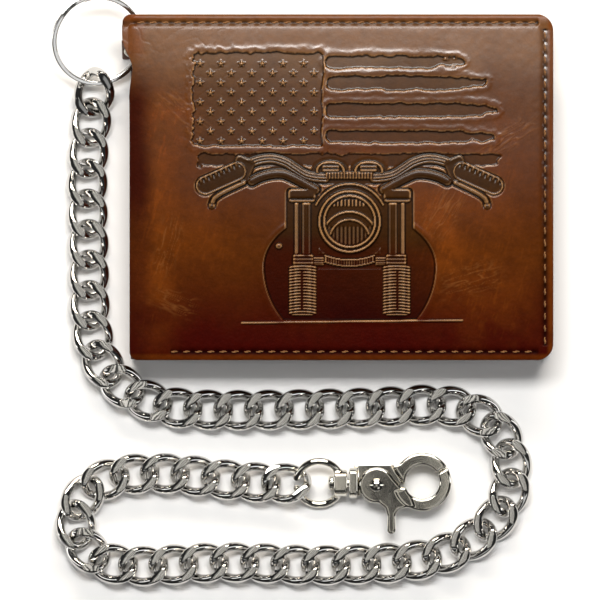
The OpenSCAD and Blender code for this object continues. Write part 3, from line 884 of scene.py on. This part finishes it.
def corner_arcs(left, right, bottom, top, r, per):
    """The rounded corners of a rectangle, anticlockwise from the lower right one."""
    arcs = []
    for cx, cy, start in ((right - r, bottom + r, -90), (right - r, top - r, 0),
                          (left + r, top - r, 90), (left + r, bottom + r, 180)):
        t = np.radians(start + np.linspace(0, 90, per))
        arcs.append(np.column_stack([cx + r * np.cos(t), cy + r * np.sin(t)]))
    return arcs


def rectangle(left, right, bottom, top, r):
    """The points round a rounded rectangle, as many on each one as on any other."""
    arcs = corner_arcs(left, right, bottom, top, r, 6)
    t = np.linspace(0, 1, 26)[1:-1, None]
    sides = [a[-1] * (1 - t) + b[0] * t for a, b in zip(arcs, arcs[1:] + arcs[:1])]
    return np.vstack([points for pair in zip(arcs, sides) for points in pair])


def bar_section(left, right, bottom, top, r, per=4):
    return np.vstack(corner_arcs(left, right, bottom, top, r, per))


def sweep(path, section):
    """Sweeps a closed (side, height) section along a flat path of 2-D points."""
    p = np.array(path)
    a = unit(np.diff(p, axis=0, prepend=2 * p[:1] - p[1:2]))
    b = unit(np.diff(p, axis=0, append=2 * p[-1:] - p[-2:-1]))
    m = unit(a + b)
    n = np.column_stack([m[:, 1], -m[:, 0]]) / np.maximum((m * b).sum(1), 0.5)[:, None]
    flat = p[:, None] + n[:, None] * section[None, :, :1]
    z = np.broadcast_to(section[None, :, 1:], (len(p), len(section), 1))
    return skin(np.concatenate([flat, z], -1))


def pocket_crease(mouth):
    def depth(x, y):
        line = 0.16 * np.exp(-(((y - mouth + 1.6) / 0.35) ** 2))
        cards = 0.1 * np.exp(-((rounded_box(x, y, (3, mouth - 24), (43, 27), 3) / 0.9) ** 2))
        return line + cards
    return depth


NOTCH_ROWS = np.concatenate([np.linspace(33.2, 33.8, 7), [33.0, 34.0]])


def notch_left(y):
    return np.where(y > 33.5, -50.3, -99)


def hide_crease(x, y):
    return 0.08 + 0.07 * fbm(x, y, 9, 104) + 0.07 * creases(x, y, 6, 105)


leaf("rear_outer_cover", (1, 4), outer, "rear_half", step=0.8, wave=0, edge=0.3, seed=100,
     left=(notch_left, NOTCH_ROWS), tinted=True, crease=hide_crease, crease_below=True)
for half, seed in (("rear", 110), ("front", 120)):
    body = half + "_half"
    lining = leaf(half + "_bill_lining", (1, 3), cotton, body, wave=0.01, seed=seed)
    leaf(half + "_inner_panel", (1, 3), inner, body, wave=0.02, seed=seed + 30)
    for n in (1, 2, 3):
        mouth = 26 - 13 * (n - 1)
        leaf(f"{half}_card_pocket_{n}", (0.5, 0.5), inner, body, step=0.9, wave=0.02,
             seed=seed + 50 + n, crease=pocket_crease(mouth), crease_below=half == "front")
divider = leaf("bill_divider", (1, 3), cotton, "rear_half", wave=0.02, edge=0.1, seed=130)

# The strips between the layers, along the bottom and up the open side
STRIP_LEFT, STRIP_RIGHT, STRIP_LOW = X0 + 7.2, X1 - 1.2, Y0 + 1
turn = [(STRIP_RIGHT - 3 + 1.8 * math.cos(math.radians(k)), STRIP_LOW + 3 + 1.8 * math.sin(math.radians(k)))
        for k in np.linspace(-90, 0, 7)]
path = [(x, STRIP_LOW + 1.2) for x in np.linspace(STRIP_LEFT, STRIP_RIGHT - 3.4, 40)] + turn
path += [(STRIP_RIGHT - 1.2, y) for y in np.linspace(STRIP_LOW + 3.4, Y1 - 4, 34)]
for half, z0, z1 in (("rear", 2.02, 2.88), ("front", 10.82, 12.08)):
    verts, faces = sweep(path, bar_section(-1.2, 1.2, z0, z1, 0.25))
    verts[:, 2] += 0.02 * fbm(verts[:, 0], verts[:, 1], 5, 180)
    add(half + "_strip", (verts, faces), edge_leather, half + "_half", [half + "_edge_strip"])

leaf("id_flap_panel", (1, 4), inner, "id_flap", seed=190, wave=0.02,
     crease=lambda x, y: 0.1 * np.exp(-((rounded_box(x, y, (0.5, -1), (46.5, 36), 3) / 0.4) ** 2)))
outline_path = rectangle(-44, 48, -38, 32, 3)
hole_path = rectangle(-36, 40, -30, 24, 2)
loops = []
for k in range(16):
    a = 2 * math.pi * k / 16
    out, up = math.cos(a), math.sin(a)
    side = 0.5 + 0.5 * np.sign(out) * abs(out) ** 0.12 if abs(out) > 1e-6 else 0.5
    z = 6.2 + 0.29 * np.sign(up) * abs(up) ** 0.5 if abs(up) > 1e-6 else 6.2
    flat = hole_path * (1 - side) + outline_path * side
    loops.append(np.column_stack([flat, np.full(len(flat), z)]))
verts = np.stack(loops, 1)
verts[..., 2] += 0.01 * fbm(verts[..., 0], verts[..., 1], 8, 195)
add("flap_frame", skin(verts, closed=True), inner, "id_flap", ["id_flap_frame"])
leaf("id_window", (2, 2), film, "id_flap", wave=0.01, edge=0.04, seed=198)

# The spine's wall is one strip of leather, in one piece across both halves
verts, faces, _ = slab(
    lambda y: 1.75 + 0 * y, lambda y: 12.45 + 0 * y, spaced(Y0 + 0.3, 21.7, 0.8, 0.6), 40,
    lambda a, b: 57.0 - 0.12 * np.abs(fbm(b, a, 7, 200)) - 0.1 * creases(b * 0.5, a, 2.6, 201),
    lambda a, b: 55.75 + 0.05 * fbm(b, a, 6, 202), 0.14)
verts = np.column_stack([-verts[:, 2], verts[:, 1], verts[:, 0]])
tint = plain_tint(verts[:, [2, 1, 0]], 205, (0.06, 0.011, 0.004))
spine = add("spine", (verts, faces, tint), outer, None, ["spine_leather_rear", "spine_leather_front"])
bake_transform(spine)


# ---------------------------------------------------------------- the stitches

def stitch_strands():
    """Two plies twisted round each other for each stitch, with both ends sunk in the leather."""
    parts = []
    rng = np.random.default_rng(5)
    for x, y, turn in STITCHES:
        a = math.radians(turn + rng.uniform(-4, 4))
        t = np.linspace(-1, 1, 15)
        length = 0.95 * rng.uniform(0.9, 1.06)
        px, py = x + length * t * math.cos(a), y + length * t * math.sin(a)
        base, _ = cover_height(px, py)
        level = 0.1 - 0.4 * np.abs(t) ** 3.5
        centre = np.column_stack([px, py, np.minimum(base.max() + level, 14.55)])
        across = np.array([-math.sin(a), math.cos(a), 0])
        for ply in (0, math.pi):
            q = ply + t * 3.0
            strand = centre + 0.12 * (np.cos(q)[:, None] * across + np.sin(q)[:, None] * np.array([0, 0, 1]))
            taper = np.clip(1.15 - np.abs(t) ** 6 * 0.5, 0.2, 1)
            parts.append(tube(strand, 0.17, 7, taper))
    return joined(parts)


add("seam_stitches", stitch_strands(), waxed, "front_half", ["seam_thread"])


# ---------------------------------------------------------------- the tab and its eyelet

EYELET = Matrix.Translation((-55.2 * MM, 37.5 * MM, 4.0 * MM)) @ Matrix.Rotation(math.radians(60), 4, "X")
TILT = np.array(Matrix.Rotation(math.radians(60), 3, "X"))
EYELET_AT = np.array([-55.2, 37.5, 4.0])


def box_field(x, y, z, centre, half, r):
    q = [np.abs(v - c) - h + r for v, c, h in zip((x, y, z), centre, half)]
    out = np.sqrt(sum(np.maximum(v, 0) ** 2 for v in q))
    return out + np.minimum(np.maximum(np.maximum(q[0], q[1]), q[2]), 0) - r


def tab_field(x, y, z):
    p = np.stack([x - EYELET_AT[0], y - EYELET_AT[1], z - EYELET_AT[2]])
    lx, ly, lz = np.tensordot(TILT.T, p, 1)
    plate = box_field(lx, ly, lz, (0, 0, 0), (4.35, 4.55, 0.49), 0.4)
    foot = box_field(x, y, z, (-52.95, 28.2, 2.1), (2.5, 8, 0.48), 0.35)
    d = soft_min(plate, foot, 0.9)
    d = soft_max(d, 2.92 - np.hypot(lx, ly), 0.1)
    d = soft_max(d, -np.maximum(np.hypot(lx, ly) - 4.0, 0.45 - lz), 0.05)
    return soft_max(d, 0.08 - z, 0.15)


verts, faces = net(tab_field, (-60.2, 19.4, -0.6), (-49.8, 41.2, 9), 0.24)
add("tab_leather", (verts, faces, plain_tint(verts, 210)), outer, "rear_half", ["chain_tab"])
flange = lathe([(2.62, -0.78), (2.88, -0.78), (2.88, 0.52), (3.7, 0.52), (3.79, 0.58), (3.79, 0.68),
                (3.6, 0.78), (3.1, 0.8), (2.75, 0.74), (2.62, 0.58)], 72)
add("eyelet_flange", flange, steel, "rear_half", ["eyelet"], EYELET, sharp=50)
washer = lathe([(2.93, -0.78), (3.6, -0.8), (3.79, -0.7), (3.79, -0.58), (3.7, -0.52), (2.93, -0.52)], 72)
add("washer_ring", washer, steel, "rear_half", ["eyelet_washer"], EYELET, sharp=50)


# ---------------------------------------------------------------- the split ring

def split_ring():
    """One flat wire: round the lower coil, across, and round the upper coil."""
    start = 152
    turns = np.radians(np.linspace(start, start + 676, 380))
    z = (smooth(math.radians(start + 322), math.radians(start + 356), turns) - 0.5) * 0.86
    section = bar_section(-0.66, 0.66, -0.36, 0.36, 0.34, 6)
    r = 12.6 - 0.675
    out = np.stack([np.cos(turns), np.sin(turns), 0 * turns], -1)
    centre = out * r + np.stack([0 * z, 0 * z, z], -1)
    up = np.array([0, 0, 1.0])
    verts = centre[:, None] + out[:, None] * section[None, :, :1] + up * section[None, :, 1:]
    return skin(verts, inside_out=True)


ring_place = (
    Matrix.Translation((-66.1 * MM, 40 * MM, 6.6 * MM)) @ Matrix.Rotation(math.radians(14), 4, "X")
    @ Matrix.Rotation(math.radians(10), 4, "Y")
)
add("split_ring_wire", split_ring(), ring_steel, "split_ring", ["split_ring"], ring_place,
    sharp=40)


# ---------------------------------------------------------------- the curb chain

ROUTE = [
    (-66.4, 30), (-67.6, 21), (-68.6, 11), (-69, 0), (-68.6, -15), (-68.4, -30), (-67.6, -41),
    (-64, -50), (-57, -56), (-48, -59.5), (-36, -60.4), (-20, -60.4), (0, -60), (13, -59.6),
    (25, -58.8), (34, -60), (41.4, -63.8), (45.6, -71), (46.8, -79), (44.6, -86.6), (39, -93.4),
    (30, -99), (19, -101.6), (5, -102.3), (-10, -102.6), (-25, -101.8), (-40, -102), (-51, -102.8),
    (-60.5, -102.7), (-66.6, -101.1), (-71.2, -96.6), (-72.8, -90.4), (-71.2, -84.2), (-66.6, -79.8),
    (-60.5, -78), (-46, -77.6), (-32, -79.3), (-20, -80.3), (-10.8, -80.3),
]
LINKS = 50
line = curve(ROUTE, 12)
along = np.concatenate([[0], np.cumsum(np.linalg.norm(np.diff(line, axis=0), axis=1))])
pitch = along[-1] / LINKS
joints = np.column_stack([np.interp(np.arange(LINKS + 1) * pitch, along, line[:, k]) for k in (0, 1)])


# The height of a link's flats above and below its middle
FLAT = 2.46


def curb_link(rings=72, sides=20):
    """A squared oval of round wire, twisted about the chain's line, with a flat cut above and below."""
    wire = 1.3
    a, b = pitch / 2 + wire + 0.25, (11.3 - 2 * wire) / 2

    def power(v):
        return np.sign(v) * np.abs(v) ** (2 / 2.5)

    t = 2 * math.pi * (np.arange(rings * 8) + 0.5) / (rings * 8)
    px, py = a * power(np.cos(t)), b * power(np.sin(t))
    length = np.concatenate([[0], np.cumsum(np.hypot(np.diff(px), np.diff(py)))])
    t = np.interp(np.linspace(0, length[-1], rings + 1)[:-1], length, t)
    x, y = a * power(np.cos(t)), b * power(np.sin(t))
    turn = -math.radians(45) * x / a
    axis = np.column_stack([x, y * np.cos(turn), y * np.sin(turn)])
    ahead = unit(np.roll(axis, -1, 0) - np.roll(axis, 1, 0))
    side = unit(np.cross(np.column_stack([0 * x, -np.sin(turn), np.cos(turn)]), ahead))
    up = np.cross(ahead, side)
    q = 2 * math.pi * np.arange(sides) / sides
    verts = axis[:, None] + (wire - 0.02) * (
        np.cos(q)[None, :, None] * side[:, None] + np.sin(q)[None, :, None] * up[:, None])
    me = mesh_data("curb_link", *skin(verts, closed=True))
    bm = bmesh.new()
    bm.from_mesh(me)
    for high in (1, -1):
        everything = bm.verts[:] + bm.edges[:] + bm.faces[:]
        cut = bmesh.ops.bisect_plane(
            bm, geom=everything, plane_co=(0, 0, high * FLAT * MM), plane_no=(0, 0, high), clear_outer=True,
            dist=1e-7)
        rim = [e for e in cut["geom_cut"] if isinstance(e, bmesh.types.BMEdge)]
        filled = bmesh.ops.holes_fill(bm, edges=rim, sides=0)["faces"]
        edges = {e for f in filled for e in f.edges}
        bmesh.ops.bevel(bm, geom=list(edges), offset=0.13 * MM, segments=2, profile=0.5, affect="EDGES",
                        clamp_overlap=True)
    bmesh.ops.recalc_face_normals(bm, faces=bm.faces[:])
    flats = [f for f in bm.faces
             if abs(f.normal.z) > 0.999 and abs(abs(f.calc_center_median().z) - FLAT * MM) < 2e-5]
    bmesh.ops.triangulate(bm, faces=flats)
    for f in bm.faces:
        f.smooth = True
    bm.to_mesh(me)
    bm.free()
    sharpen(me, 32)
    return me


link_mesh = curb_link()
tilts = np.random.default_rng(7).uniform(-1, 1, (LINKS, 2))
link_mesh.materials.append(link_steel)
# How the first and the last link lie against the rings, as (roll, rise, lift)
ENDS = {0: (8, 0.75, 10), LINKS - 1: (-6.5, 0.5, -3)}
for k in range(LINKS):
    (fx, fy), (tx, ty) = joints[k], joints[k + 1]
    roll, rise, lift = ENDS.get(k, (0, 0, 0))
    place = (
        Matrix.Translation(((fx + tx) / 2 * MM, (fy + ty) / 2 * MM, (2.5 + rise) * MM))
        @ Matrix.Rotation(math.atan2(ty - fy, tx - fx), 4, "Z")
        @ Matrix.Rotation(math.radians(lift + 1.2 * tilts[k, 0]), 4, "Y")
        @ Matrix.Rotation(math.radians(roll + 1.6 * tilts[k, 1]), 4, "X")
    )
    pair = f"{k // 2 * 2 + 1:02d}_{k // 2 * 2 + 2:02d}"
    add(f"curb_link_{k + 1:02d}", link_mesh.copy(), link_steel, "chain_" + pair, ["chain_links_" + pair],
        place)


# ---------------------------------------------------------------- the swivel clasp

AXIS_Y, AXIS_Z = -80.2, 3.0
PIN = (9.6, -80.8)
HOOK = (22.0, -79.9)


def polygon_field(x, y, points):
    p = np.asarray(points, float)
    d = np.full(x.shape, 1e9)
    inside = np.zeros(x.shape, bool)
    for a, b in zip(p, np.roll(p, -1, 0)):
        d = np.minimum(d, segment(x, y, a, b))
        crosses = (a[1] > y) != (b[1] > y)
        inside ^= crosses & (x < (b[0] - a[0]) * (y - a[1]) / (b[1] - a[1] + 1e-12) + a[0])
    return np.where(inside, -d, d)


def plate(d, z, z0, z1, r):
    """A flat plate with edges rounded to r."""
    return soft_max(d, np.abs(z - (z0 + z1) / 2) - (z1 - z0) / 2, r)


def turned(x, y, z, x0, x1, r):
    """A collar about the swivel axis."""
    d = np.hypot(y - AXIS_Y, z - AXIS_Z) - r
    return soft_max(d, np.abs(x - (x0 + x1) / 2) - (x1 - x0) / 2, 0.45)


def swivel_ring_field(x, y, z):
    a = math.radians(18)
    v = (y - AXIS_Y) * math.cos(a) + (z - AXIS_Z) * math.sin(a)
    w = (z - AXIS_Z) * math.cos(a) - (y - AXIS_Y) * math.sin(a)
    ring = np.hypot(np.hypot(x + 6, v) - 6.2, w) - 0.97
    collar = soft_max(turned(x, y, z, -1.98, 1.58, 3.68), np.abs(z - AXIS_Z) - 2.92, 0.3)
    return soft_max(soft_min(ring, collar, 0.7), 1.28 - np.hypot(y - AXIS_Y, z - AXIS_Z), 0.12)


def sector(x, y, start, stop):
    """Below 0 within the angles start to stop about the hook's middle, as a distance."""
    half = math.radians(stop - start) / 2
    middle = math.radians(start + stop) / 2
    px, py = x - HOOK[0], y - HOOK[1]
    a = px * math.cos(middle) + py * math.sin(middle)
    b = np.abs(-px * math.sin(middle) + py * math.cos(middle))
    return b * math.cos(half) - a * math.sin(half)


def body_field(x, y, z):
    hook = np.hypot(x - HOOK[0], y - HOOK[1])
    collar = turned(x, y, z, 2.12, 4.38, 4.18)
    collar = soft_max(collar, np.abs(z - AXIS_Z) - 2.93, 0.3)
    boss = np.hypot(x - PIN[0], y - PIN[1]) - 4.97
    back = rounded_box(x, y, (6.5, -79.5), (3, 4.3), 0.6)
    neck = polygon_field(x, y, [(9, -75.2), (14.2, -75.2), (16.9, -80.4), (9, -81)])
    low = plate(soft_min(np.minimum(boss, back), neck, 0.3), z, 0.42, 2.38, 0.35)
    arm = polygon_field(x, y, [(13.8, -75.5), (16.5, -74.6), (21, -74), (21, -80), (16.9, -80.4)])
    jaw = soft_max(hook - 7.88, sector(x, y, 32, 157), 0.4)
    high = plate(soft_min(jaw, arm, 0.3), z, 0.42, 5.58, 0.7)
    d = soft_min(soft_min(low, high, 0.3), collar, 0.5)
    d = soft_max(d, 4.62 - hook, 0.6)
    return soft_max(d, 1.02 - np.hypot(x - PIN[0], y - PIN[1]), 0.05)


def lever_field(x, y, z):
    hook = np.hypot(x - HOOK[0], y - HOOK[1])
    pin = np.hypot(x - PIN[0], y - PIN[1])
    arm = polygon_field(x, y, [
        (11.6, -76.5), (12.6, -77.1), (16.3, -81.3), (18, -81.3), (20, -86.5), (17, -87),
        (15.6, -87.4), (14.8, -88.6), (12.4, -88.6), (11.9, -87), (10, -85.5)])
    tail = segment(x, y, (13.6, -87), (13.6, -92.8)) - 1.19
    flat = soft_min(soft_min(pin - 4.77, arm, 0.25), tail, 0.5)
    high = plate(flat, z, 2.62, 5.58, 0.6)
    jaw = plate(soft_max(hook - 7.88, sector(x, y, 198.5, 389.5), 0.3), z, 0.42, 5.58, 0.7)
    d = soft_min(high, jaw, 0.3)
    d = soft_max(d, 4.66 - hook, 0.6)
    d = soft_max(d, 1.06 - pin, 0.05)
    well = np.maximum(np.abs(pin - 2.5) - 0.8, z - 4.0)
    return soft_max(d, -well, 0.05)


for name, field, low, high, body, node in (
    ("end_ring", swivel_ring_field, (-13.9, -88, -0.4), (2.4, -72.4, 6.4), "swivel_ring", "swivel_ring"),
    ("clasp_frame", body_field, (1.5, -86.6, -0.4), (29.4, -71.4, 6.6), "clasp", "clasp_body"),
    ("clasp_trigger", lever_field, (4.2, -94.8, -0.2), (30.6, -75.3, 6.2), "clasp_lever", "clasp_lever"),
):
    add(name, net(field, low, high, 0.17), steel, body, [node])

ALONG_X = Matrix.Translation((0, AXIS_Y * MM, AXIS_Z * MM)) @ Matrix.Rotation(math.radians(90), 4, "Y")
stud = lathe([(0.02, -3.58), (0.9, -3.56), (1.6, -3.4), (1.98, -3.05), (2.03, -2.7), (2.0, -2.25),
              (1.85, -2.12), (1.22, -2.1), (1.19, -2.0), (1.19, 3.98), (0.02, 3.98)], 48)
add("stud_pin", stud, steel, "clasp", ["swivel_stud"], ALONG_X, sharp=45)
rivet = lathe([(0.02, 0.02), (1.6, 0.02), (1.78, 0.15), (1.78, 0.38), (0.99, 0.38), (0.99, 5.66), (1.8, 5.66),
               (1.88, 5.75), (1.75, 6.0), (1.4, 6.25), (0.9, 6.43), (0.4, 6.52), (0.02, 6.53)], 48)
at_pin = Matrix.Translation((PIN[0] * MM, PIN[1] * MM, 0))
add("rivet_pin", rivet, steel, "clasp", ["clasp_rivet"], at_pin, sharp=45)
q = np.linspace(0, 2 * math.pi * 1.9, 120)
coil = np.column_stack([PIN[0] + 2.5 * np.cos(q), PIN[1] + 2.5 * np.sin(q), 2.86 + 0.62 * q / q[-1]])
add("spring_coil", tube(coil, 0.28, 10), steel, "clasp", ["clasp_spring"])


# ---------------------------------------------------------------- the stage, the lights and the camera

def flat_material(name, colour, rough):
    m = Nodes(name)
    soft = m.texture("Noise", 8, Detail=3)
    m.set(Base_Color=m.ramp(soft, *shades(colour, 0.99, 1)), Roughness=rough, Specular_IOR_Level=0.2)
    return m.material


corners = [(-3000, -3000, -0.03), (3000, -3000, -0.03), (3000, 3000, -0.03), (-3000, 3000, -0.03)]
paper = flat_material("paper", (0.98, 0.98, 0.98), 0.7)
floor = add("floor", (corners, [[[0, 1, 2, 3]]]), paper, None)


def softbox(name, place, aim, size, power, colour=(1, 1, 1)):
    light = bpy.data.lights.new(name, "AREA")
    light.shape = "RECTANGLE"
    light.size, light.size_y = size
    light.energy = power
    light.color = colour
    o = bpy.data.objects.new(name, light)
    bpy.context.scene.collection.objects.link(o)
    o.location = place
    o.rotation_euler = (Vector(aim) - Vector(place)).to_track_quat("-Z", "Y").to_euler()


softbox("sky", (0.0, 0.5, 1.15), (0, 0.0, 0), (0.9, 0.3), 13.8, (1, 0.985, 0.96))
softbox("key", (0.0, 0.6, 0.36), (0, 0.0, 0), (0.7, 0.12), 5.2, (1, 0.9, 0.78))
softbox("left", (-0.65, -0.05, 0.3), (0, -0.03, 0), (0.12, 0.9), 0.7)
softbox("right", (0.65, -0.05, 0.3), (0, -0.03, 0), (0.12, 0.9), 0.8)
for k, (across, power) in enumerate(((-0.22, 0.08), (-0.13, 0.17), (-0.02, 0.13), (0.09, 0.14), (0.2, 0.11))):
    softbox(f"ceiling_{k}", (across, 0.0, 1.7), (across, 0.0001, 0), (0.06, 0.8), power, (1, 0.97, 0.9))
softbox("card", (0.6, -0.9, 1.65), (0, 0, 0), (0.7, 0.6), 1.2)
softbox("side_card", (-0.6, -0.5, 1.65), (-0.07, 0.03, 0), (0.4, 0.4), 0.17)
softbox("front", (0.0, -0.7, 0.3), (0, -0.03, 0), (0.9, 0.1), 0.2)
world = bpy.data.worlds.new("room")
world.use_nodes = True
world.node_tree.nodes["Background"].inputs["Color"].default_value = (1, 1, 1, 1)
world.node_tree.nodes["Background"].inputs["Strength"].default_value = 0.03
bpy.context.scene.world = world

camera = bpy.data.cameras.new("camera")
camera.lens = 500
camera.sensor_width = 36
camera.clip_end = 20
o = bpy.data.objects.new("camera", camera)
bpy.context.scene.collection.objects.link(o)
o.location = (-0.0112, -0.0305, 0.1626 * 500 / 36 + 0.008)
bpy.context.scene.camera = o
bpy.context.scene.view_settings.view_transform = "Standard"
